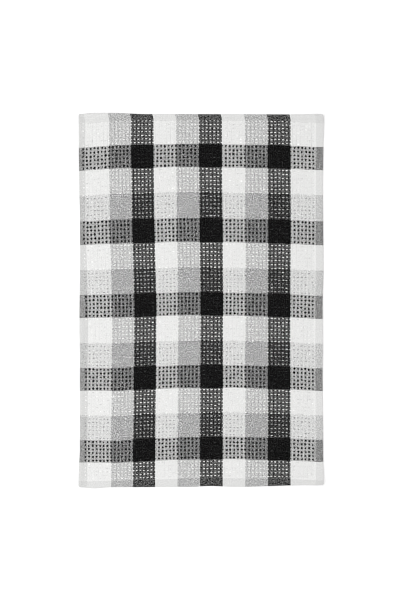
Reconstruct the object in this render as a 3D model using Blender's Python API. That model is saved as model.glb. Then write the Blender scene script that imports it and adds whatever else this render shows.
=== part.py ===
"""A tea towel: one cut of cotton waffle cloth with a turned hem on all four sides, lying flat.

The towel lies on z = 0 with its width along X and its length along Y. The origin is the middle
of its underside. Its edges wander as the woven cloth does, its hems are a little thicker than the
rest, and at a few places a hem or corner lifts off the surface. The cloth's body rests flat.
"""

import math

import bmesh
import bpy

MM = 0.001

# The towel's finished size between its folded edges, and its cloth.
WIDTH = 395 * MM
LENGTH = 604 * MM
CLOTH_THICK = 1.8 * MM  # waffle cloth, measured over its ridges
HEM_RAISE = 0.6 * MM  # what a hem's turned layers add to that, and twice that where two hems cross
CORNER_RADIUS = 2.5 * MM
HEM_WIDTHS = {"left": 8 * MM, "right": 13 * MM, "bottom": 14 * MM, "top": 10 * MM}

# The cloth between the hems is divided into steps of about this size.
BODY_STEP = 16 * MM

# A hem's section. Its outer edge is a round fold, and near its stitched inner edge it is drawn in.
FOLD_RADIUS = 1.5 * MM
FOLD_SHARES = (0.0, 0.12, 0.45, 1.0)  # shares of the fold's radius, in from the edge
SEAM_SECTION = (
    # in from the hem's stitched edge, share of the hem's raise
    (-2.6 * MM, 1.0),
    (-1.3 * MM, 0.4),
    (0.0 * MM, 0.75),
    (1.4 * MM, 0.0),
)

# How far each edge wanders outside its straight line. "along" runs from the towel's middle.
LEFT_EDGE = (
    # along (y), out
    (-285 * MM, 1.0 * MM),
    (-240 * MM, -1.0 * MM),
    (-90 * MM, -1.0 * MM),
    (-45 * MM, -0.5 * MM),
    (115 * MM, -1.5 * MM),
    (195 * MM, 0.0 * MM),
    (285 * MM, 1.0 * MM),
)
RIGHT_EDGE = (
    # along (y), out
    (-295 * MM, 0.5 * MM),
    (-240 * MM, 0.0 * MM),
    (-125 * MM, -1.0 * MM),
    (-10 * MM, -1.0 * MM),
    (50 * MM, 0.5 * MM),
    (180 * MM, -0.5 * MM),
    (270 * MM, 0.5 * MM),
)
BOTTOM_EDGE = (
    # along (x), out
    (-195 * MM, 0.5 * MM),
    (-175 * MM, 2.0 * MM),
    (-145 * MM, 0.5 * MM),
    (-20 * MM, 0.0 * MM),
    (15 * MM, -1.5 * MM),
    (55 * MM, 0.0 * MM),
    (175 * MM, -3.0 * MM),
)
TOP_EDGE = (
    # along (x), out
    (-195 * MM, -0.5 * MM),
    (-180 * MM, 1.0 * MM),
    (-135 * MM, 1.0 * MM),
    (-90 * MM, -0.5 * MM),
    (190 * MM, -1.0 * MM),
)

# The places where the cloth doesn't lie down: soft lifts on the hems and corners.
LIFTS = (
    # middle (x, y), reach along, reach across, turned by (degrees), height
    ((184 * MM, 286 * MM), 58 * MM, 36 * MM, 38, 2.0 * MM),
    ((190 * MM, -292 * MM), 62 * MM, 40 * MM, -35, 2.4 * MM),
    ((158 * MM, -302 * MM), 46 * MM, 26 * MM, 4, 1.3 * MM),
    ((-176 * MM, -302 * MM), 56 * MM, 28 * MM, -6, 1.7 * MM),
    ((-158 * MM, 303 * MM), 60 * MM, 24 * MM, 2, 1.5 * MM),
    ((-198 * MM, 218 * MM), 66 * MM, 24 * MM, 90, 1.2 * MM),
    ((-198 * MM, -45 * MM), 62 * MM, 22 * MM, 90, 1.0 * MM),
    ((198 * MM, -64 * MM), 70 * MM, 26 * MM, 90, 1.1 * MM),
)

# The underside's middle, inside this margin, has no lift and is one flat face.
FLAT_MARGIN = 60 * MM

# Colour and finish of the woven cotton, as its white, grey and black yarns average.
COTTON_COLOUR = (0.41, 0.41, 0.41, 1.0)
COTTON_ROUGHNESS = 0.95


def clear_scene():
    """Starts from an empty scene."""
    for item in list(bpy.data.objects):
        bpy.data.objects.remove(item, do_unlink=True)


def wander(edge, along):
    """How far out an edge is at a place along it, on a smooth line through its rows."""
    if along <= edge[0][0]:
        return edge[0][1]
    for (start, out_start), (end, out_end) in zip(edge, edge[1:]):
        if along <= end:
            share = (along - start) / (end - start)
            ease = share * share * (3 - 2 * share)
            return out_start + (out_end - out_start) * ease
    return edge[-1][1]


def stations(size, near_hem, far_hem):
    """Places across the towel, as (in from the near edge, hem raise): fold, seam, body, seam, fold."""
    near = [(share * FOLD_RADIUS, 1.0) for share in FOLD_SHARES]
    far = list(near)
    near += [(near_hem + back, share) for back, share in SEAM_SECTION]
    far += [(far_hem + back, share) for back, share in SEAM_SECTION]
    body_start, body_end = near[-1][0], size - far[-1][0]
    steps = round((body_end - body_start) / BODY_STEP)
    body = [
        (body_start + (body_end - body_start) * step / steps, 0.0) for step in range(1, steps)
    ]
    return near + body + [(size - inward, share) for inward, share in reversed(far)]


def round_corner(from_side, from_end):
    """Moves a point near a corner, given its distances in from the two edges, onto a rounded corner."""
    if from_side >= CORNER_RADIUS or from_end >= CORNER_RADIUS:
        return from_side, from_end
    a, b = 1 - from_side / CORNER_RADIUS, 1 - from_end / CORNER_RADIUS
    return (
        CORNER_RADIUS * (1 - a * math.sqrt(1 - b * b / 2)),
        CORNER_RADIUS * (1 - b * math.sqrt(1 - a * a / 2)),
    )


def place(across, along):
    """The point (x, y) for a place given from the towel's lower left corner of its straight outline."""
    in_x, in_y = min(across, WIDTH - across), min(along, LENGTH - along)
    round_x, round_y = round_corner(in_x, in_y)
    x = (round_x if across < WIDTH / 2 else WIDTH - round_x) - WIDTH / 2
    y = (round_y if along < LENGTH / 2 else LENGTH - round_y) - LENGTH / 2
    share_x, share_y = x / WIDTH + 0.5, y / LENGTH + 0.5
    out_x = wander(RIGHT_EDGE, y) * share_x - wander(LEFT_EDGE, y) * (1 - share_x)
    out_y = wander(TOP_EDGE, x) * share_y - wander(BOTTOM_EDGE, x) * (1 - share_y)
    return x + out_x, y + out_y


def lift(x, y):
    """How far the cloth's underside is off the surface at a point."""
    height = 0.0
    for (middle_x, middle_y), reach_along, reach_across, turned, top in LIFTS:
        angle = math.radians(turned)
        dx, dy = x - middle_x, y - middle_y
        u = (dx * math.cos(angle) + dy * math.sin(angle)) / reach_along
        v = (dy * math.cos(angle) - dx * math.sin(angle)) / reach_across
        from_middle = math.hypot(u, v)
        if from_middle < 1:
            height = max(height, top * math.cos(math.pi / 2 * from_middle) ** 2)
    return height


def fullness(inward):
    """The share of its full thickness that the round fold has at a distance in from the edge."""
    return math.sqrt(max(0.0, 1 - max(0.0, 1 - inward / FOLD_RADIUS) ** 2))


def heights(across, along, raise_share, x, y):
    """Heights (underside, top) of the cloth at a place."""
    thick = CLOTH_THICK + HEM_RAISE * raise_share
    inward = min(across, WIDTH - across, along, LENGTH - along)
    gap = thick * (1 - fullness(inward)) / 2
    base = lift(x, y)
    return base + gap, base + thick - gap


def cotton():
    """Matte woven cotton."""
    material = bpy.data.materials.new("waffle_cotton")
    material.use_nodes = True
    shader = material.node_tree.nodes["Principled BSDF"]
    shader.inputs["Base Color"].default_value = COTTON_COLOUR
    shader.inputs["Roughness"].default_value = COTTON_ROUGHNESS
    shader.inputs["Metallic"].default_value = 0.0
    material.diffuse_color = COTTON_COLOUR
    return material


def towel():
    """The towel as one closed body: a top and an underside that meet at the folded edges."""
    columns = stations(WIDTH, HEM_WIDTHS["left"], HEM_WIDTHS["right"])
    rows = stations(LENGTH, HEM_WIDTHS["bottom"], HEM_WIDTHS["top"])
    last_column, last_row = len(columns) - 1, len(rows) - 1
    mesh = bmesh.new()
    top, under = {}, {}
    for i, (across, raise_x) in enumerate(columns):
        for j, (along, raise_y) in enumerate(rows):
            x, y = place(across, along)
            low, high = heights(across, along, raise_x + raise_y, x, y)
            top[i, j] = mesh.verts.new((x, y, high))
            on_edge = i in (0, last_column) or j in (0, last_row)
            under[i, j] = top[i, j] if on_edge else mesh.verts.new((x, y, low))

    # Columns and rows between which the underside is one flat face.
    inner_columns = [
        i for i, (across, _) in enumerate(columns) if FLAT_MARGIN <= across <= WIDTH - FLAT_MARGIN
    ]
    inner_rows = [
        j for j, (along, _) in enumerate(rows) if FLAT_MARGIN <= along <= LENGTH - FLAT_MARGIN
    ]
    left, right = inner_columns[0], inner_columns[-1]
    low, high = inner_rows[0], inner_rows[-1]
    for i in range(last_column):
        for j in range(last_row):
            ring = ((i, j), (i + 1, j), (i + 1, j + 1), (i, j + 1))
            mesh.faces.new([top[key] for key in ring])
            if not (left <= i < right and low <= j < high):
                mesh.faces.new([under[key] for key in reversed(ring)])
    border = [(i, low) for i in range(left, right)] + [(right, j) for j in range(low, high)]
    border += [(i, high) for i in range(right, left, -1)]
    border += [(left, j) for j in range(high, low, -1)]
    mesh.faces.new([under[key] for key in reversed(border)])
    unused = [vertex for vertex in mesh.verts if not vertex.link_faces]
    bmesh.ops.delete(mesh, geom=unused, context="VERTS")

    # The origin goes to the middle of the outline's box.
    xs, ys = [v.co.x for v in mesh.verts], [v.co.y for v in mesh.verts]
    middle = (-(min(xs) + max(xs)) / 2, -(min(ys) + max(ys)) / 2, 0.0)
    bmesh.ops.translate(mesh, verts=mesh.verts, vec=middle)

    data = bpy.data.meshes.new("towel")
    mesh.to_mesh(data)
    mesh.free()
    data.shade_smooth()
    data.materials.append(cotton())
    item = bpy.data.objects.new("towel", data)
    bpy.context.scene.collection.objects.link(item)
    return item


clear_scene()
towel()
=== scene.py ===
import math

import bmesh
import bpy
import numpy as np
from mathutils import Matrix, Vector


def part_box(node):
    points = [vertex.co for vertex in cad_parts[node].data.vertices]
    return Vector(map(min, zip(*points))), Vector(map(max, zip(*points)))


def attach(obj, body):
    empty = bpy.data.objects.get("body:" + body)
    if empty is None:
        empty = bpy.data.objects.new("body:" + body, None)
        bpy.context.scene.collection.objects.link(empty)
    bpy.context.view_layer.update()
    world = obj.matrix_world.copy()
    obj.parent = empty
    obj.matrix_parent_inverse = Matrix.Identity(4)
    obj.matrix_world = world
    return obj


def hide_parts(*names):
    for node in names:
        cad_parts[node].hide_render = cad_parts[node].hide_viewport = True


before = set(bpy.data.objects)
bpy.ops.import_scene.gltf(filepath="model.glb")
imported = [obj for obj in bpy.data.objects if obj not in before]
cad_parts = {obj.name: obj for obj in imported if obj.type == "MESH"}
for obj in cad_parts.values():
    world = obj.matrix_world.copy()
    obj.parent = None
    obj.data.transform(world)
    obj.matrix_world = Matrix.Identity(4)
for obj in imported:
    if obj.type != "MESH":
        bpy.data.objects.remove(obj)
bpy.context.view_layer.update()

# The towel's cloth. One cut of cotton waffle cloth, woven from white, grey and black yarns in a
# check, with all four sides turned over and sewn down. It lies flat on the surface under it, its
# edges wander a little, and a few corners and hems lift. It is one closed sheet with two faces.

MM = 0.001
CLOTH_THICK = 1.8 * MM  # over the ridges of the waffle
HEM_RAISE = 0.6 * MM  # what a hem's turned layers add to that
FOLD_RADIUS = 1.5 * MM
CORNER_RADIUS = 2.5 * MM
WIDTH = 395 * MM
LENGTH = 604 * MM

# How far each folded edge wanders outside its straight line. "along" runs from the middle.
LEFT_EDGE = (
    # along (y), out
    (-285 * MM, 1.0 * MM),
    (-240 * MM, -1.0 * MM),
    (-90 * MM, -1.0 * MM),
    (-45 * MM, -0.5 * MM),
    (115 * MM, -1.5 * MM),
    (195 * MM, 0.0 * MM),
    (285 * MM, 1.0 * MM),
)
RIGHT_EDGE = (
    # along (y), out
    (-295 * MM, 0.5 * MM),
    (-240 * MM, 0.0 * MM),
    (-125 * MM, -1.0 * MM),
    (-10 * MM, -1.0 * MM),
    (50 * MM, 0.5 * MM),
    (180 * MM, -0.5 * MM),
    (270 * MM, 0.5 * MM),
)
BOTTOM_EDGE = (
    # along (x), out
    (-195 * MM, 0.5 * MM),
    (-175 * MM, 2.0 * MM),
    (-145 * MM, 0.5 * MM),
    (-20 * MM, 0.0 * MM),
    (15 * MM, -1.5 * MM),
    (55 * MM, 0.0 * MM),
    (175 * MM, -3.0 * MM),
)
TOP_EDGE = (
    # along (x), out
    (-195 * MM, -0.5 * MM),
    (-180 * MM, 1.0 * MM),
    (-135 * MM, 1.0 * MM),
    (-90 * MM, -0.5 * MM),
    (190 * MM, -1.0 * MM),
)

# The weave is counted in waffle cells: columns run across from left to right, rows run down from
# the top. Spots of weft lie on whole columns and rows, ribs of warp on half columns.
COLUMN_PITCH = 6.07 * MM
ROW_PITCH = 6.23 * MM
COLUMN_ZERO = -110.2 * MM  # x of column 0
LEFT_FOLD, LEFT_SEAM, RIGHT_SEAM, RIGHT_FOLD = -14.8, -13.7, 48.7, 50.8
TOP_FOLD, TOP_SEAM, BOTTOM_SEAM, BOTTOM_FOLD = -9.2, -7.6, 86.6, 88.85
ROW_PLACES = (
    # row, y in the middle of the towel
    (TOP_SEAM, 294 * MM),
    (-0.5, 253.5 * MM),
    (12, 176 * MM),
    (24.5, 95 * MM),
    (43.5, -24 * MM),
    (62.5, -141.5 * MM),
    (81.5, -257.5 * MM),
    (BOTTOM_SEAM, -288 * MM),
)

# The weave isn't straight: its rows lie lower towards the towel's sides, and its columns drift a
# little to the left and right on their way down.
SAG_COLUMNS = (LEFT_SEAM, -4, 2.5, 14.5, 27, 40, RIGHT_SEAM)
WEFT_SAG = (
    # row, how many mm lower than the middle on each of those columns
    (TOP_SEAM, 5, 1, 0, 0, 0, 1, 4),
    (2.5, 7, 2.5, 2, 0, 1.5, 3, 5.5),
    (40.5, 4.5, 3.5, 2.5, 0, 1, 3, 6),
    (78, 5, 6.5, 3, 0.5, -0.5, 2, 4.5),
    (BOTTOM_SEAM, 5, 4, 3, 0, 0, 1, 3),
)
DRIFT_COLUMNS = (-10, 3, 14.5, 27.5, 45.5)
WARP_DRIFT = (
    # row, how many mm to the right of straight on each of those columns
    (2.5, -2, -3.5, -3, -1.5, 0.5),
    (21.5, -1, -1.5, -2, 0, 0.5),
    (40.5, 3, 2, 0, 0, -0.5),
    (78.5, 1.5, -0.5, -1, -0.5, 0),
)
TOP_HEM_LEAN = -2.0 * MM  # the stripes slant to the left where the top hem is turned

# The places where the cloth doesn't lie down: soft lifts on the hems and corners.
LIFTS = (
    # middle (x, y), reach along, reach across, turned by (degrees), height
    ((184 * MM, 286 * MM), 58 * MM, 36 * MM, 38, 2.0 * MM),
    ((190 * MM, -292 * MM), 62 * MM, 40 * MM, -35, 2.4 * MM),
    ((158 * MM, -302 * MM), 46 * MM, 26 * MM, 4, 1.3 * MM),
    ((-176 * MM, -302 * MM), 56 * MM, 28 * MM, -6, 1.7 * MM),
    ((-158 * MM, 303 * MM), 60 * MM, 24 * MM, 2, 1.5 * MM),
    ((-198 * MM, 218 * MM), 66 * MM, 24 * MM, 90, 1.2 * MM),
    ((-198 * MM, -45 * MM), 62 * MM, 22 * MM, 90, 1.0 * MM),
    ((198 * MM, -64 * MM), 70 * MM, 26 * MM, 90, 1.1 * MM),
)

# A hem's height, by how far a place is inside the hem from its sewn edge. The stitches draw it in.
SEAM_SECTION = (
    # into the hem, share of the hem's raise
    (-1.4 * MM, 0.0),
    (0.0, 0.75),
    (1.3 * MM, 0.4),
    (2.6 * MM, 1.0),
)

# Depths of the waffle under the crowns of its yarns, on the face and up from the underside.
SPOT, RIB, CORNER, PIT = 0, 1, 2, 3
FACE_DEPTHS = (0.30 * MM, 0.32 * MM, 0.45 * MM, 0.70 * MM)
BACK_DEPTHS = (0.0, 0.0, 0.15 * MM, 0.28 * MM)

# Yarns, by their lightness, and the order in which they repeat.
BLACK, GREY, WHITE = 0.0, 0.5, 1.0
WARP_ORDER = ((6, GREY), (6, BLACK), (6, WHITE))  # columns of each, from FIRST_STRIPE on
WEFT_ORDER = ((6, BLACK), (6.5, WHITE), (6.5, GREY))  # rows of each, from FIRST_BAR on
FIRST_STRIPE, LAST_STRIPE = -6, 42
FIRST_BAR, LAST_BAR = -0.5, 81.5


def wander(edge, along):
    """How far out an edge is at places along it, on a smooth line through its rows."""
    places, outs = np.array(edge).T
    start = np.clip(np.searchsorted(places, along) - 1, 0, len(places) - 2)
    share = (along - places[start]) / (places[start + 1] - places[start])
    share = np.clip(share, 0, 1)
    return outs[start] + (outs[start + 1] - outs[start]) * share * share * (3 - 2 * share)


def between(columns, table, row, column):
    """Reads a table that has a line for each of a few rows, and a value there for each column."""
    table = np.array(table, float)
    on_rows = np.array([np.interp(column, columns, values) for values in table[:, 1:]])
    rows = table[:, 0]
    start = np.clip(np.searchsorted(rows, row) - 1, 0, len(rows) - 2)
    share = np.clip((row - rows[start]) / (rows[start + 1] - rows[start]), 0, 1)
    pick = np.arange(np.size(row)).reshape(np.shape(row))
    flat = on_rows.reshape(len(rows), -1)
    return flat[start, pick] * (1 - share) + flat[start + 1, pick] * share


def toward(value, seam, fold):
    """The share of a hem's width that a column or row is past its seam, towards its fold."""
    return np.clip((value - seam) / (fold - seam), 0, 1)


middle_of_outline = np.zeros(2)


def lay(column, row):
    """Where places of the weave lie (x, y), and how far in from the nearest fold they are."""
    column, row = np.broadcast_arrays(np.asarray(column, float), np.asarray(row, float))
    inner_column = np.clip(column, LEFT_SEAM, RIGHT_SEAM)
    inner_row = np.clip(row, TOP_SEAM, BOTTOM_SEAM)
    to_left, to_right = toward(column, LEFT_SEAM, LEFT_FOLD), toward(column, RIGHT_SEAM, RIGHT_FOLD)
    to_top, to_bottom = toward(row, TOP_SEAM, TOP_FOLD), toward(row, BOTTOM_SEAM, BOTTOM_FOLD)

    x = COLUMN_ZERO + COLUMN_PITCH * inner_column
    x = x + MM * between(DRIFT_COLUMNS, WARP_DRIFT, inner_row, inner_column) + TOP_HEM_LEAN * to_top
    y = np.interp(inner_row, *np.array(ROW_PLACES).T)
    y = y - MM * between(SAG_COLUMNS, WEFT_SAG, inner_row, inner_column)

    straight = x + to_left * (-WIDTH / 2 - x) + to_right * (WIDTH / 2 - x)
    top = LENGTH / 2 + wander(TOP_EDGE, straight)
    bottom = -LENGTH / 2 - wander(BOTTOM_EDGE, straight)
    y = y + to_top * (top - y) + to_bottom * (bottom - y)
    left, right = -WIDTH / 2 - wander(LEFT_EDGE, y), WIDTH / 2 + wander(RIGHT_EDGE, y)
    x = x + to_left * (left - x) + to_right * (right - x)

    # The corners are rounded.
    in_x, in_y = np.minimum(x - left, right - x), np.minimum(y - bottom, top - y)
    corner = (in_x < CORNER_RADIUS) & (in_y < CORNER_RADIUS)
    a, b = np.clip(1 - in_x / CORNER_RADIUS, 0, 1), np.clip(1 - in_y / CORNER_RADIUS, 0, 1)
    new_x = np.where(corner, CORNER_RADIUS * (1 - a * np.sqrt(1 - b * b / 2)), in_x)
    new_y = np.where(corner, CORNER_RADIUS * (1 - b * np.sqrt(1 - a * a / 2)), in_y)
    x = x + np.where(x < 0, new_x - in_x, in_x - new_x)
    y = y + np.where(y < 0, new_y - in_y, in_y - new_y)
    return x - middle_of_outline[0], y - middle_of_outline[1], np.minimum(in_x, in_y)


def lift(x, y):
    """How far the cloth's underside is off the surface at points."""
    height = np.zeros(np.shape(x))
    for (middle_x, middle_y), reach_along, reach_across, turned, top in LIFTS:
        angle = math.radians(turned)
        dx, dy = x + middle_of_outline[0] - middle_x, y + middle_of_outline[1] - middle_y
        u = (dx * math.cos(angle) + dy * math.sin(angle)) / reach_along
        v = (dy * math.cos(angle) - dx * math.sin(angle)) / reach_across
        from_middle = np.minimum(np.hypot(u, v), 1)
        height = np.maximum(height, top * np.cos(math.pi / 2 * from_middle) ** 2)
    return height


def into_hems(column, row):
    """How far places are inside each of the four hems, negative on the cloth between them."""
    return (
        (LEFT_SEAM - column) * COLUMN_PITCH,
        (column - RIGHT_SEAM) * COLUMN_PITCH,
        (TOP_SEAM - row) * ROW_PITCH,
        (row - BOTTOM_SEAM) * ROW_PITCH,
    )


def levels(column, row, x, y, inward):
    """Heights (underside, crowns) of the cloth at places of the weave."""
    raised = sum(np.interp(into, *np.array(SEAM_SECTION).T) for into in into_hems(column, row))
    thick = CLOTH_THICK + HEM_RAISE * raised
    outside = np.clip(1 - inward / FOLD_RADIUS, 0, 1)
    gap = thick * (1 - np.sqrt(1 - outside**2)) / 2
    base = lift(x, y)
    return base + gap, base + thick - gap


def yarn_at(place, first, last, order):
    """The lightness of the yarn at columns or rows: white but for the stripes or bars."""
    counts, yarns = zip(*order)
    ends = np.cumsum(counts)
    found = np.array(yarns)[np.searchsorted(ends, (place - first) % ends[-1], side="right")]
    return np.where((place >= first) & (place < last), found, WHITE)


def add_mesh(name, points, faces, uv_name, uvs):
    """Makes a piece from its points, its four-sided faces and a map value for each face corner."""
    data = bpy.data.meshes.new(name)
    data.vertices.add(len(points))
    data.vertices.foreach_set("co", points.astype(np.float32).ravel())
    data.loops.add(faces.size)
    data.loops.foreach_set("vertex_index", faces.astype(np.int32).ravel())
    data.polygons.add(len(faces))
    data.polygons.foreach_set("loop_start", np.arange(0, faces.size, 4, dtype=np.int32))
    data.polygons.foreach_set("use_smooth", np.full(len(faces), True))
    data.uv_layers.new(name=uv_name).data.foreach_set("uv", uvs.astype(np.float32).ravel())
    data.update(calc_edges=True)
    data.validate()
    piece = bpy.data.objects.new(name, data)
    bpy.context.scene.collection.objects.link(piece)
    return piece


# The outline is centred as the solid is.
PLACES_ACROSS, PLACES_DOWN = 400, 600  # about one a mm along the edges
edge_columns = np.linspace(LEFT_FOLD, RIGHT_FOLD, PLACES_ACROSS)
edge_rows = np.linspace(TOP_FOLD, BOTTOM_FOLD, PLACES_DOWN)
edge_x = np.concatenate([lay(LEFT_FOLD, edge_rows)[0], lay(RIGHT_FOLD, edge_rows)[0]])
edge_y = np.concatenate([lay(edge_columns, TOP_FOLD)[1], lay(edge_columns, BOTTOM_FOLD)[1]])
solid_low, solid_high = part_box("towel")
middle_of_outline = np.array(
    [
        (edge_x.min() + edge_x.max()) / 2 - (solid_low.x + solid_high.x) / 2,
        (edge_y.min() + edge_y.max()) / 2 - (solid_low.y + solid_high.y) / 2,
    ]
)

# Two stations a cell on the cloth. In the hems they are shares of the way from seam to fold, and
# stand closer towards the fold.
STATION = 0.5
FIRST_COLUMN, FIRST_ROW = -13.5, -7.5  # the first stations past the left and the top seam
HEM_STATIONS = np.array([1.0, 0.985, 0.95, 0.89, 0.80, 0.66, 0.50, 0.34, 0.17, 0.0])
WAFFLE_FADE = 2.5 * MM  # the waffle reaches its full depth this far from a seam
columns = np.concatenate(
    [
        LEFT_SEAM + HEM_STATIONS * (LEFT_FOLD - LEFT_SEAM),
        np.arange(FIRST_COLUMN, RIGHT_SEAM, STATION),
        RIGHT_SEAM + HEM_STATIONS[::-1] * (RIGHT_FOLD - RIGHT_SEAM),
    ]
)
rows = np.concatenate(
    [
        TOP_SEAM + HEM_STATIONS * (TOP_FOLD - TOP_SEAM),
        np.arange(FIRST_ROW, BOTTOM_SEAM, STATION),
        BOTTOM_SEAM + HEM_STATIONS[::-1] * (BOTTOM_FOLD - BOTTOM_SEAM),
    ]
)
column_grid, row_grid = np.meshgrid(columns, rows, indexing="ij")
x, y, inward = lay(column_grid, row_grid)
low, high = levels(column_grid, row_grid, x, y, inward)
half_column, half_row = column_grid * 2 % 2 > 0.5, row_grid * 2 % 2 > 0.5
kind = np.select([half_column & half_row, half_column, half_row], [CORNER, RIB, PIT], SPOT)
from_seams = -np.max(into_hems(column_grid, row_grid), axis=0)
waffled = np.clip(from_seams / WAFFLE_FADE, 0, 1)
high = high - waffled * np.array(FACE_DEPTHS)[kind]
low = low + waffled * np.array(BACK_DEPTHS)[kind]

# The face and the underside share their points along the folded edge.
count = column_grid.size
face_index = np.arange(count).reshape(column_grid.shape)
back_index = face_index + count
back_index[[0, -1], :] = face_index[[0, -1], :]
back_index[:, [0, -1]] = face_index[:, [0, -1]]


def grid_faces(index, turned):
    """The four-sided faces over a grid of points. Rows run down, so the face side turns over."""
    faces = np.stack([index[:-1, :-1], index[:-1, 1:], index[1:, 1:], index[1:, :-1]], axis=-1)
    return (faces[..., ::-1] if turned else faces).reshape(-1, 4)


points = np.concatenate(
    [np.stack([x, y, high], -1).reshape(-1, 3), np.stack([x, y, low], -1).reshape(-1, 3)]
)
faces = np.concatenate([grid_faces(face_index, False), grid_faces(back_index, True)])
flat_cells = np.stack([column_grid, row_grid], -1).reshape(-1, 2)
cells = np.concatenate([flat_cells, flat_cells])
cloth = add_mesh("tea_towel_cloth", points, faces, "cells", cells[faces])

# Each face of the mesh says which yarns cross there, and what share of the cloth shows weft. Black
# yarn swallows the light between the yarns, so it is drawn over more than its width: painted shade
# between the yarns and in the waffle's pits.
EVEN_SHARE = 0.38
WEFT_SHARES = (
    # warp yarn, weft yarn, share that shows weft
    (BLACK, WHITE, 0.12),
    (BLACK, GREY, 0.085),
    (WHITE, BLACK, 0.56),
    (GREY, BLACK, 0.61),
    (GREY, WHITE, 0.45),
    (WHITE, GREY, 0.40),
)
# Painted shade in the gaps between the yarns: the colour there is multiplied by this lightness.
CLOTH_GAP_SHADE = 0.82  # how light the gaps between the yarns are
# Over a hem's turned layers the painted shade in the gaps is darker, which darkens the hems. The
# side hems show more of the weft and the end hems less. On the left and at the top the layers reach
# a little past the seam, under the first cells of the waffle.
HEM_LAYERS = (
    # runs across, from, to (columns or rows), times the share of weft, how light the painted gap
    # shade is
    (False, LEFT_FOLD, -12.7, 1.20, 0.34),
    (False, RIGHT_SEAM, RIGHT_FOLD, 1.35, 0.50),
    (True, TOP_FOLD, -6.8, 0.78, 0.51),
    (True, BOTTOM_SEAM, BOTTOM_FOLD, 0.62, 0.46),
)
middle_columns, middle_rows = (columns[1:] + columns[:-1]) / 2, (rows[1:] + rows[:-1]) / 2
warp = yarn_at(middle_columns, FIRST_STRIPE, LAST_STRIPE, WARP_ORDER)
weft = yarn_at(middle_rows, FIRST_BAR, LAST_BAR, WEFT_ORDER)
warp_grid, weft_grid = np.meshgrid(warp, weft, indexing="ij")
weft_share = np.full(warp_grid.shape, EVEN_SHARE)
for warp_yarn, weft_yarn, share in WEFT_SHARES:
    weft_share[(warp_grid == warp_yarn) & (weft_grid == weft_yarn)] = share
# Painted shade in the gaps, face by face: lighter on the cloth, darker over the hems.
painted_gap_shade = np.full(warp_grid.shape, CLOTH_GAP_SHADE)
for runs_across, first, last, weft_times, gap_shade in HEM_LAYERS:
    place = middle_rows[None, :] if runs_across else middle_columns[:, None]
    inside = np.broadcast_to((place > first) & (place < last), warp_grid.shape)
    weft_share[inside] *= weft_times
    painted_gap_shade[inside] *= gap_shade / CLOTH_GAP_SHADE
face_values = (
    ("warp_yarn", warp_grid),
    ("weft_yarn", weft_grid),
    ("weft_share", weft_share),
    ("painted_gap_shade", painted_gap_shade),
)
for attribute, grid in face_values:
    values = np.tile(grid.ravel(), 2).astype(np.float32)
    cloth.data.attributes.new(attribute, "FLOAT", "FACE").data.foreach_set("value", values)


def colour(hex_value):
    """An sRGB hex colour in linear light, as shaders take it."""
    parts = [int(hex_value[i : i + 2], 16) / 255 for i in (1, 3, 5)]
    linear = [p / 12.92 if p <= 0.04045 else ((p + 0.055) / 1.055) ** 2.4 for p in parts]
    return (*linear, 1.0)


def add_node(tree, kind, inputs=(), **settings):
    """Adds a node with its settings, and its inputs as values or as the sockets that feed them."""
    item = tree.nodes.new(kind)
    for name, value in settings.items():
        setattr(item, name, value)
    for name, value in dict(inputs).items():
        if isinstance(value, bpy.types.NodeSocket):
            tree.links.new(value, item.inputs[name])
        else:
            item.inputs[name].default_value = value
    return item


def add_material(name):
    """A new material with no nodes yet, and its node tree."""
    material = bpy.data.materials.new(name)
    material.use_nodes = True
    material.node_tree.nodes.clear()
    return material, material.node_tree


# Woven cotton cloth, from yarn dyed before weaving: matte, a little fuzzy, with light and dark
# specks where one yarn passes over the other, and thin painted shade in the gaps between the yarns.
# The ends and picks stand 0.76 to 0.78 mm apart, under the render's pixel, so the weave shows as an
# even speckle.
COTTON_IOR = 1.53
COTTON_SPECULAR = 0.02  # next to no shine
YARN_COLOURS = {BLACK: "#0F0F0F", GREY: "#A0A0A0", WHITE: "#E3E3E2"}
YARNS_A_CELL = 8
CLOTH_UNEVEN, HEM_UNEVEN = 1.3, 2.0  # how much the places where the weft shows wander
UNEVEN_PATCHES = 2.3  # to a cell, so 2.7 mm each
# Random lighter and darker specks on the cloth and the yarns, strongest on black: lint, and painted
# sheen where fuzz catches the light.
SPECKS = {BLACK: 1.9, GREY: 0.70, WHITE: 0.07}  # fuzz catches the light, most of all on black
FUZZ_PATCHES = 3.4  # to a cell, so 1.8 mm each
LEAST_FUZZ, MOST_FUZZ = 0.36, 0.64  # the noise's usual range
WEFT_FROM, WEFT_BY_SHARE = 0.87, -1.55  # weft shows where the crossings' wave is over this
WEFT_EDGE = 0.08  # half the width of the change from warp to weft
GAP_REACH = 0.40  # how far up that wave the shade of the gaps goes
darkest_gap_shade = min(gap_shade for *_, gap_shade in HEM_LAYERS)

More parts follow.
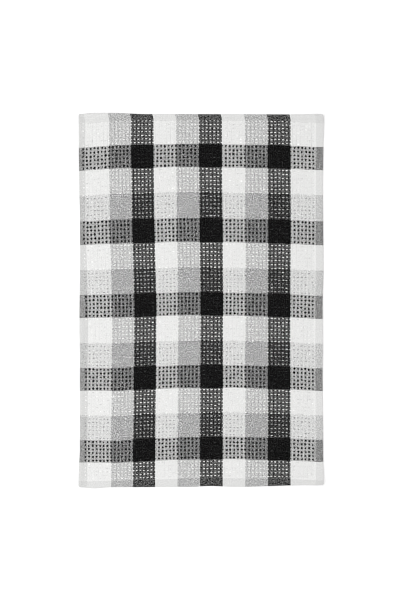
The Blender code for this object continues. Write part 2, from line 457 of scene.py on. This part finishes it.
woven_cotton, tree = add_material("woven_cotton")
place = add_node(tree, "ShaderNodeUVMap", uv_map="cells")
split = add_node(tree, "ShaderNodeSeparateXYZ", {"Vector": place.outputs["UV"]})
waves = []
for axis in ("X", "Y"):
    turns = add_node(
        tree,
        "ShaderNodeMath",
        {0: split.outputs[axis], 1: math.pi * YARNS_A_CELL},
        operation="MULTIPLY",
    )
    wave = add_node(tree, "ShaderNodeMath", {0: turns.outputs[0]}, operation="SINE")
    waves.append(wave.outputs[0])
crossing = add_node(tree, "ShaderNodeMath", {0: waves[0], 1: waves[1]}, operation="MULTIPLY")
uneven = add_node(
    tree,
    "ShaderNodeTexNoise",
    {"Vector": place.outputs["UV"], "Scale": UNEVEN_PATCHES, "Detail": 3.0, "Roughness": 0.6},
)
painted_gap_shade = add_node(tree, "ShaderNodeAttribute", attribute_name="painted_gap_shade")
unevenness = add_node(
    tree,
    "ShaderNodeMapRange",
    {
        "Value": painted_gap_shade.outputs["Fac"],
        "From Min": darkest_gap_shade,
        "From Max": CLOTH_GAP_SHADE,
        "To Min": HEM_UNEVEN,
        "To Max": CLOTH_UNEVEN,
    },
)
about_even = add_node(
    tree, "ShaderNodeMath", {0: uneven.outputs["Fac"], 1: 0.5}, operation="SUBTRACT"
)
shifted = add_node(
    tree,
    "ShaderNodeMath",
    {0: about_even.outputs[0], 1: unevenness.outputs["Result"], 2: crossing.outputs[0]},
    operation="MULTIPLY_ADD",
)
shades = {}
for yarn in ("warp_yarn", "weft_yarn"):
    lightness = add_node(tree, "ShaderNodeAttribute", attribute_name=yarn)
    ramp = add_node(tree, "ShaderNodeValToRGB", {"Fac": lightness.outputs["Fac"]})
    ramp.color_ramp.interpolation = "CONSTANT"
    ramp.color_ramp.elements[0].color = colour(YARN_COLOURS[BLACK])
    ramp.color_ramp.elements[1].position = 0.75
    ramp.color_ramp.elements[1].color = colour(YARN_COLOURS[WHITE])
    ramp.color_ramp.elements.new(0.25).color = colour(YARN_COLOURS[GREY])
    shades[yarn] = (lightness.outputs["Fac"], ramp.outputs["Color"])
weft_share = add_node(tree, "ShaderNodeAttribute", attribute_name="weft_share")
threshold = add_node(
    tree,
    "ShaderNodeMath",
    {0: weft_share.outputs["Fac"], 1: WEFT_BY_SHARE, 2: WEFT_FROM},
    operation="MULTIPLY_ADD",
)
above = add_node(
    tree,
    "ShaderNodeMath",
    {0: shifted.outputs[0], 1: threshold.outputs[0]},
    operation="SUBTRACT",
)
weft_shows = add_node(
    tree,
    "ShaderNodeMapRange",
    {"Value": above.outputs[0], "From Min": -WEFT_EDGE, "From Max": WEFT_EDGE},
    interpolation_type="SMOOTHSTEP",
)
woven = add_node(
    tree,
    "ShaderNodeMix",
    {0: weft_shows.outputs["Result"], 6: shades["warp_yarn"][1], 7: shades["weft_yarn"][1]},
    data_type="RGBA",
)
rounded = add_node(tree, "ShaderNodeMath", {0: crossing.outputs[0]}, operation="ABSOLUTE")
# Painted shade: the colour darkens in the gaps between the yarns, down to the face's painted gap
# shade.
gap_shade = add_node(
    tree,
    "ShaderNodeMapRange",
    {
        "Value": rounded.outputs[0],
        "From Max": GAP_REACH,
        "To Min": painted_gap_shade.outputs["Fac"],
        "To Max": 1.0,
    },
)
fuzz = add_node(
    tree,
    "ShaderNodeTexNoise",
    {"Vector": place.outputs["UV"], "Scale": FUZZ_PATCHES, "Detail": 2.0, "Roughness": 0.6},
)
# Specks: the colour is made lighter and darker at random, most of all on black, with painted sheen
# of the fuzz among them.
specks = add_node(
    tree,
    "ShaderNodeMapRange",
    {
        "Value": fuzz.outputs["Fac"],
        "From Min": LEAST_FUZZ,
        "From Max": MOST_FUZZ,
        "To Min": -1.0,
        "To Max": 1.0,
    },
)
shown = add_node(
    tree,
    "ShaderNodeMix",
    {0: weft_shows.outputs["Result"], 2: shades["warp_yarn"][0], 3: shades["weft_yarn"][0]},
)
spread = add_node(tree, "ShaderNodeValToRGB", {"Fac": shown.outputs[0]})
spread.color_ramp.elements[0].color = (*[SPECKS[BLACK]] * 3, 1)
spread.color_ramp.elements[1].color = (*[SPECKS[WHITE]] * 3, 1)
spread.color_ramp.elements.new(GREY).color = (*[SPECKS[GREY]] * 3, 1)
strength = add_node(
    tree,
    "ShaderNodeMath",
    {0: specks.outputs["Result"], 1: spread.outputs["Color"]},
    operation="MULTIPLY",
)
speckled = add_node(tree, "ShaderNodeMath", {0: strength.outputs[0]}, operation="EXPONENT")
shade = add_node(
    tree,
    "ShaderNodeMath",
    {0: gap_shade.outputs["Result"], 1: speckled.outputs[0]},
    operation="MULTIPLY",
)
shaded = add_node(
    tree,
    "ShaderNodeMix",
    {0: 1.0, 6: woven.outputs[2], 7: shade.outputs[0]},
    data_type="RGBA",
    blend_type="MULTIPLY",
)
bump = add_node(
    tree, "ShaderNodeBump", {"Height": rounded.outputs[0], "Strength": 0.5, "Distance": 0.12 * MM}
)
matte = add_node(
    tree,
    "ShaderNodeMapRange",
    {"Value": fuzz.outputs["Fac"], "To Min": 0.84, "To Max": 0.98},
)
cloth_shader = add_node(
    tree,
    "ShaderNodeBsdfPrincipled",
    {
        "Base Color": shaded.outputs[2],
        "Roughness": matte.outputs["Result"],
        "IOR": COTTON_IOR,
        "Specular IOR Level": COTTON_SPECULAR,
        "Normal": bump.outputs["Normal"],
    },
)
add_node(tree, "ShaderNodeOutputMaterial", {"Surface": cloth_shader.outputs["BSDF"]})
cloth.data.materials.append(woven_cotton)
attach(cloth, "root")
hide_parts("towel")

# The yarns that float over the cloth. In each waffle cell a spot of four weft picks lies over the
# warp, and between the columns of spots ribs of two warp ends run down the cloth. They make the
# ridges of the waffle, and the check's dots: white on black, black on white. One piece a yarn.

YARN_WIDTH = 0.80 * MM
SPOT_PICKS = (
    # place across the spot in yarns, share of the length
    (-1.3, 0.55),
    (-0.4, 1.0),
    (0.4, 1.0),
    (1.3, 0.55),
)
SPOT_REACH = 2.10 * MM  # half of a spot's longest float
SPOT_RISE = -0.2 * MM  # along the rows, which run down: the spots sit a little high in their cells
SPOT_SLIP, PICK_SLIP = 0.30 * MM, 0.10 * MM  # how far a spot, and a pick in it, are out of place
SPOT_UNEVEN = 0.09  # from one spot's size to the next, as a share
SPOT_SINK = 0.04 * MM  # how unevenly the spots sink in
PICK_SINK = 0.04 * MM  # how far a spot's outer picks sink in, for each yarn from its middle
RIB_ENDS = (
    # place across the rib in yarns, share of the length
    (-0.5, 1.0),
    (0.5, 0.9),
)
RIB_REACH = 3.9 * MM  # past half a row, so that one rib runs on into the next
SLIP_ALONG, SLIP_ACROSS = 0.12 * MM, 0.05 * MM  # how far a rib's ends are out of place
END_UNEVEN = 0.04  # from one end's length to the next, as a share
RIB_SUNK = 0.05 * MM  # under the crowns
RIB_SUNK_IN_HEM = -0.20 * MM  # in the end hems the ribs stand over them
PICK_PITCH = ROW_PITCH / YARNS_A_CELL
RIB_END_PITCH = 0.8 * COLUMN_PITCH / YARNS_A_CELL  # a rib's two ends lie close together

# A float's shape along its length: it comes up from the cloth, arches and goes down.
FLOAT_SHAPE = (
    # share of the reach, share of the width, depth under the crown
    (-1.0, 0.50, 0.50 * MM),
    (-0.60, 0.92, 0.12 * MM),
    (0.0, 1.0, 0.0),
    (0.60, 0.92, 0.12 * MM),
    (1.0, 0.50, 0.50 * MM),
)
ACROSS = np.array([-1.0, 0.0, 1.0])  # each section's points: a side, the top, a side
SIDE_DEPTH = 0.22 * MM  # how far a yarn's sides are under its top
SPOT_LENGTH, SPOT_HEIGHT, RIB_WIDTH = 0, 1, 2
FLOAT_SIZES = {
    # what crosses: length and height of a spot of weft, width of a rib of warp
    "black under weft": (1.12, 0.66, 0.26),
    "black over warp": (1.20, 1.22, 0.29),
    "one kind, or grey and white": (1.10, 0.73, 0.33),
}
SHADE_SPREAD = {BLACK: 0.42, GREY: 0.18, WHITE: 0.08}  # from one float to the next
FLOAT_SEED = 7


def add_floats(name, column, row, reach, width, under_crowns, shade, runs_across):
    """Lays short floats of yarn at places of the weave, each an arch with a rounded top."""
    shares, widths, depths = np.array(FLOAT_SHAPE).T
    along = reach[:, None, None] * shares[None, :, None] * np.ones(ACROSS.size)
    across = width[:, None, None] / 2 * widths[None, :, None] * ACROSS
    to_side, down = (along, across) if runs_across else (across, along)
    float_column = column[:, None, None] + to_side / COLUMN_PITCH
    float_row = row[:, None, None] + down / ROW_PITCH
    x, y, inward = lay(float_column, float_row)
    crowns = levels(float_column, float_row, x, y, inward)[1]
    sides = SIDE_DEPTH * np.abs(ACROSS)
    z = crowns - depths[None, :, None] - sides - under_crowns[:, None, None]
    points = np.stack([x, y, z], -1).reshape(-1, 3)

    # Faces join each section's points to the next one's. Floats that run across turn the other
    # way from those that run down, so that all of them face up.
    sections = len(FLOAT_SHAPE)
    first = np.arange(sections - 1)[:, None] * ACROSS.size + np.arange(ACROSS.size - 1)
    after = first + ACROSS.size
    one = np.stack([first, after, after + 1, first + 1], -1).reshape(-1, 4)
    one = one[:, ::-1] if runs_across else one
    starts = np.arange(len(column))[:, None, None] * sections * ACROSS.size
    faces = (starts + one).reshape(-1, 4)
    lengths = np.stack([along, across], -1).reshape(-1, 2) / MM
    piece = add_mesh(name, points, faces, "yarn", lengths[faces])
    shades = np.repeat(shade, len(one)).astype(np.float32)
    piece.data.attributes.new("shade", "FLOAT", "FACE").data.foreach_set("value", shades)
    return piece


TWIST_SCALE = 0.62  # on a map in mm, where it sets the slanting lines 0.72 mm apart
SLUBS_A_METRE = 650.0  # so 1.5 mm each
LIGHT_YARN_SHINE = 0.12  # what white yarn has more of than black
cotton_yarns = {}
for name, lightness in (("white", WHITE), ("grey", GREY), ("black", BLACK)):
    # Spun cotton: soft matte yarn whose twist shows as fine slanting lines of painted shade in its
    # grooves, and whose thickness and dye vary a little along it, with painted sheen where its fuzz
    # catches the light, most of all on black. Dyed fibre takes up the light, so black yarn has next
    # to no shine.
    yarn, tree = add_material(f"{name}_cotton_yarn")
    along = add_node(tree, "ShaderNodeUVMap", uv_map="yarn")
    twist = add_node(
        tree,
        "ShaderNodeTexWave",
        {
            "Vector": along.outputs["UV"],
            "Scale": TWIST_SCALE,
            "Distortion": 0.6,
            "Detail": 1.0,
        },
        bands_direction="DIAGONAL",
    )
    solid = add_node(tree, "ShaderNodeTexCoord")
    slubs = add_node(
        tree,
        "ShaderNodeTexNoise",
        {
            "Vector": solid.outputs["Object"],
            "Scale": SLUBS_A_METRE,
            "Detail": 2.0,
            "Roughness": 0.6,
        },
    )
    # Painted shade in the grooves of the twist: the colour darkens along the slanting lines.
    twist_groove_shade = add_node(
        tree, "ShaderNodeMapRange", {"Value": twist.outputs["Fac"], "To Min": 0.88, "To Max": 1.0}
    )
    # Slubs: the colour goes lighter and darker along the yarn, most of all on black: uneven dye,
    # and painted sheen of the fuzz.
    uneven = add_node(
        tree,
        "ShaderNodeMapRange",
        {
            "Value": slubs.outputs["Fac"],
            "From Min": LEAST_FUZZ,
            "From Max": MOST_FUZZ,
            "To Min": math.exp(-SPECKS[lightness]),
            "To Max": math.exp(SPECKS[lightness]),
        },
    )
    own = add_node(tree, "ShaderNodeAttribute", attribute_name="shade")
    both = add_node(
        tree,
        "ShaderNodeMath",
        {0: twist_groove_shade.outputs["Result"], 1: uneven.outputs["Result"]},
        operation="MULTIPLY",
    )
    shade = add_node(
        tree,
        "ShaderNodeMath",
        {0: both.outputs[0], 1: own.outputs["Fac"]},
        operation="MULTIPLY",
    )
    dyed = add_node(
        tree,
        "ShaderNodeMix",
        {0: 1.0, 6: colour(YARN_COLOURS[lightness]), 7: shade.outputs[0]},
        data_type="RGBA",
        blend_type="MULTIPLY",
    )
    matte = add_node(
        tree, "ShaderNodeMapRange", {"Value": slubs.outputs["Fac"], "To Min": 0.82, "To Max": 0.96}
    )
    ridges = add_node(
        tree,
        "ShaderNodeBump",
        {"Height": twist.outputs["Fac"], "Strength": 0.4, "Distance": 0.08 * MM},
    )
    yarn_shader = add_node(
        tree,
        "ShaderNodeBsdfPrincipled",
        {
            "Base Color": dyed.outputs[2],
            "Roughness": matte.outputs["Result"],
            "IOR": COTTON_IOR,
            "Specular IOR Level": COTTON_SPECULAR + LIGHT_YARN_SHINE * lightness,
            "Normal": ridges.outputs["Normal"],
        },
    )
    add_node(tree, "ShaderNodeOutputMaterial", {"Surface": yarn_shader.outputs["BSDF"]})
    cotton_yarns[name] = (lightness, yarn)

chance = np.random.RandomState(FLOAT_SEED)
floats = []


def sizes_where(warp, weft, which):
    """One of the three sizes of FLOAT_SIZES, at places where these yarns cross."""
    black_under, black_over, plain = (sizes[which] for sizes in FLOAT_SIZES.values())
    mixed = np.where(warp < GREY, black_under, black_over)
    return np.where((warp < GREY) == (weft < GREY), plain, mixed)


def every_cell(first_column, last_column, first_row, last_row):
    """The columns and the rows of all cells between the first and the last, cell by cell."""
    across = np.arange(first_column, last_column + 1.0)
    down = np.arange(first_row, last_row + 1.0)
    return (grid.ravel() for grid in np.meshgrid(across, down))


# Some spots lie just on the border of two stripes or bars, so their yarns are read beside it. Such
# a spot counts as lying on the darker stripe, and belongs to the upper bar.
BESIDE = 0.25
SPOT_CELLS = (-13, 48, -7, 86)  # first and last column, first and last row
RIB_CELLS = (-13.5, 48.5, -8, 88)
spot_columns, spot_rows = every_cell(*SPOT_CELLS)
under = np.minimum(
    yarn_at(spot_columns - BESIDE, FIRST_STRIPE, LAST_STRIPE, WARP_ORDER),
    yarn_at(spot_columns + BESIDE, FIRST_STRIPE, LAST_STRIPE, WARP_ORDER),
)
spot_yarn = yarn_at(spot_rows - BESIDE, FIRST_BAR, LAST_BAR, WEFT_ORDER)
full = chance.normal(1, SPOT_UNEVEN, spot_rows.size)
spot_length = full * sizes_where(under, spot_yarn, SPOT_LENGTH)
spot_height = full * sizes_where(under, spot_yarn, SPOT_HEIGHT)
slip_column = chance.normal(0, SPOT_SLIP, spot_rows.size) / COLUMN_PITCH
slip_row = chance.normal(SPOT_RISE, SPOT_SLIP, spot_rows.size) / ROW_PITCH
sunk = np.abs(chance.normal(0, SPOT_SINK, spot_rows.size))
for name, (lightness, yarn) in cotton_yarns.items():
    chosen = spot_yarn == lightness
    length, height = spot_length[chosen], spot_height[chosen]
    some = chosen.sum()
    shade = np.exp(chance.normal(0, SHADE_SPREAD[lightness], some))
    laid = []
    for pick, share in SPOT_PICKS:
        jitter = chance.normal(0, PICK_SLIP, some) / COLUMN_PITCH
        own = np.exp(chance.normal(0, SHADE_SPREAD[lightness] / 2, some))
        laid.append(
            (
                spot_columns[chosen] + slip_column[chosen] + jitter,
                spot_rows[chosen] + slip_row[chosen] + pick * PICK_PITCH * height / ROW_PITCH,
                SPOT_REACH * share * length,
                YARN_WIDTH * height,
                sunk[chosen] + abs(pick) * PICK_SINK,
                shade * own,
            )
        )
    parts = [np.concatenate(part) for part in zip(*laid)]
    piece = add_floats(f"weft_spots_{name}", *parts, runs_across=True)
    piece.data.materials.append(yarn)
    floats.append((piece, f"{name}_yarn"))

rib_columns, rib_rows = every_cell(*RIB_CELLS)
rib_yarn = yarn_at(rib_columns, FIRST_STRIPE, LAST_STRIPE, WARP_ORDER)
crossed = yarn_at(rib_rows - BESIDE, FIRST_BAR, LAST_BAR, WEFT_ORDER)
rib_width = sizes_where(rib_yarn, crossed, RIB_WIDTH)
in_end_hem = (rib_rows < TOP_SEAM) | (rib_rows > BOTTOM_SEAM)
rib_sunk = np.where(in_end_hem, RIB_SUNK_IN_HEM, RIB_SUNK)
for name, (lightness, yarn) in cotton_yarns.items():
    chosen = rib_yarn == lightness
    some = chosen.sum()
    shade = np.exp(chance.normal(0, SHADE_SPREAD[lightness], some))
    laid = []
    for end, share in RIB_ENDS:
        own = np.exp(chance.normal(0, SHADE_SPREAD[lightness] / 2, some))
        aside = (end * RIB_END_PITCH + chance.normal(0, SLIP_ACROSS, some)) / COLUMN_PITCH
        laid.append(
            (
                rib_columns[chosen] + aside,
                rib_rows[chosen] + chance.normal(0, SLIP_ALONG, some) / ROW_PITCH,
                RIB_REACH * share * chance.normal(1, END_UNEVEN, some),
                YARN_WIDTH * rib_width[chosen],
                rib_sunk[chosen],
                shade * own,
            )
        )
    parts = [np.concatenate(part) for part in zip(*laid)]
    piece = add_floats(f"warp_ribs_{name}", *parts, runs_across=False)
    piece.data.materials.append(yarn)
    floats.append((piece, f"{name}_yarn"))

for piece, slot in floats:
    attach(piece, "root")

# The sewing along the four hems: one line of lockstitches just inside each hem's inner edge, in
# grey thread that lies in the groove which it draws in the hem.

STITCH_PITCH = 3.0 * MM
STITCH_REACH = 1.25 * MM  # half of a stitch
STITCH_SUNK = -0.15 * MM  # less than nothing: the thread stands over the groove's floor
THREAD_WIDTH = 0.35 * MM
SEAM_INTO_HEM = 1.3 * MM
RUN_MARGIN = 0.5  # columns or rows that a line of stitches stops short of the folds

ends_across = (LEFT_FOLD + RUN_MARGIN, RIGHT_FOLD - RUN_MARGIN)
ends_down = (TOP_FOLD + RUN_MARGIN, BOTTOM_FOLD - RUN_MARGIN)
stitch_runs = (
    # hem, runs across, its two ends, place of the line
    ("top", True, ends_across, TOP_SEAM - SEAM_INTO_HEM / ROW_PITCH),
    ("bottom", True, ends_across, BOTTOM_SEAM + SEAM_INTO_HEM / ROW_PITCH),
    ("left", False, ends_down, LEFT_SEAM - SEAM_INTO_HEM / COLUMN_PITCH),
    ("right", False, ends_down, RIGHT_SEAM + SEAM_INTO_HEM / COLUMN_PITCH),
)
seams = []
for hem, runs_across, (first, last), line in stitch_runs:
    pitch = STITCH_PITCH / (COLUMN_PITCH if runs_across else ROW_PITCH)
    steps = np.arange(first, last, pitch)
    on_line = np.full(steps.size, line)
    column, row = (steps, on_line) if runs_across else (on_line, steps)
    reach = np.full(steps.size, STITCH_REACH)
    width = np.full(steps.size, THREAD_WIDTH)
    sunk = np.full(steps.size, STITCH_SUNK)
    shade = np.ones(steps.size)
    seams.append(
        add_floats(f"stitches_{hem}", column, row, reach, width, sunk, shade, runs_across)
    )

# Spun polyester sewing thread: grey, finer than the yarn, with a slight sheen on its tight twist.
THREAD_TWIST_SCALE = 0.9  # the slanting lines are 0.49 mm apart
sewing_thread, tree = add_material("spun_polyester_thread")
along = add_node(tree, "ShaderNodeUVMap", uv_map="yarn")
twist = add_node(
    tree,
    "ShaderNodeTexWave",
    {"Vector": along.outputs["UV"], "Scale": THREAD_TWIST_SCALE, "Distortion": 0.3},
    bands_direction="DIAGONAL",
)
plies = add_node(
    tree,
    "ShaderNodeMix",
    {0: twist.outputs["Fac"], 6: colour("#8C8C8C"), 7: colour("#B4B4B2")},
    data_type="RGBA",
)
ridges = add_node(
    tree, "ShaderNodeBump", {"Height": twist.outputs["Fac"], "Strength": 0.4, "Distance": 0.05 * MM}
)
thread_shader = add_node(
    tree,
    "ShaderNodeBsdfPrincipled",
    {
        "Base Color": plies.outputs[2],
        "Roughness": 0.55,
        "IOR": 1.55,
        "Specular IOR Level": 0.3,
        "Normal": ridges.outputs["Normal"],
    },
)
add_node(tree, "ShaderNodeOutputMaterial", {"Surface": thread_shader.outputs["BSDF"]})
for seam in seams:
    seam.data.materials.append(sewing_thread)
    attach(seam, "root")

# The floor: a wide plain white board, as bright as the photo's background.

FLOOR_REACH = 6.0
FLOOR_LEVEL = -0.1 * MM  # just under the towel, so that the two faces don't coincide
board = bmesh.new()
bmesh.ops.create_grid(board, x_segments=1, y_segments=1, size=FLOOR_REACH)
bmesh.ops.translate(board, verts=board.verts, vec=(0, 0, FLOOR_LEVEL))
floor_data = bpy.data.meshes.new("floor")
board.to_mesh(floor_data)
board.free()
floor = bpy.data.objects.new("floor", floor_data)
bpy.context.scene.collection.objects.link(floor)

# Matt white paint: no shine, and patches a shade lighter and darker that the eye hardly sees.
white_board, tree = add_material("matt_white_board")
grain = add_node(tree, "ShaderNodeTexNoise", {"Scale": 3.0})
paint = add_node(
    tree,
    "ShaderNodeMix",
    {0: grain.outputs["Fac"], 6: colour("#FCFCFC"), 7: colour("#FEFEFE")},
    data_type="RGBA",
)
board_shader = add_node(
    tree,
    "ShaderNodeBsdfPrincipled",
    {"Base Color": paint.outputs[2], "Roughness": 0.9, "Specular IOR Level": 0.1},
)
add_node(tree, "ShaderNodeOutputMaterial", {"Surface": board_shader.outputs["BSDF"]})
floor_data.materials.append(white_board)

# Light and camera: a white room whose light comes from all round, a large soft lamp on the left,
# and a camera straight above the towel.

world = bpy.data.worlds.new("white_room")
world.use_nodes = True
room = world.node_tree.nodes["Background"]
room.inputs["Color"].default_value = (1, 1, 1, 1)
room.inputs["Strength"].default_value = 1.0
bpy.context.scene.world = world

LAMP_SIZE = 0.8
LAMP_WATTS = 6.2
LAMP_PLACE = (-0.9, -0.15, 1.2)
lamp_data = bpy.data.lights.new("soft_lamp", "AREA")
lamp_data.size = LAMP_SIZE
lamp_data.energy = LAMP_WATTS
lamp = bpy.data.objects.new("soft_lamp", lamp_data)
lamp.location = LAMP_PLACE
lamp.rotation_euler = (-lamp.location).to_track_quat("-Z", "Y").to_euler()
bpy.context.scene.collection.objects.link(lamp)

CAMERA_HEIGHT = 3.0
SEEN_LENGTH = 973.6 * MM  # what the photo's height takes in
SENSOR = 36.0
SEEN_MIDDLE = (-1.1 * MM, -0.2 * MM)
camera_data = bpy.data.cameras.new("camera")
camera_data.sensor_width = SENSOR
camera_data.lens = SENSOR * CAMERA_HEIGHT / SEEN_LENGTH
camera = bpy.data.objects.new("camera", camera_data)
camera.location = (
    SEEN_MIDDLE[0] - middle_of_outline[0],
    SEEN_MIDDLE[1] - middle_of_outline[1],
    CAMERA_HEIGHT,
)
bpy.context.scene.collection.objects.link(camera)
bpy.context.scene.camera = camera
bpy.context.scene.view_settings.view_transform = "Standard"
bpy.context.scene.cycles.filter_width = 1.0  # px, as crisp as the photo
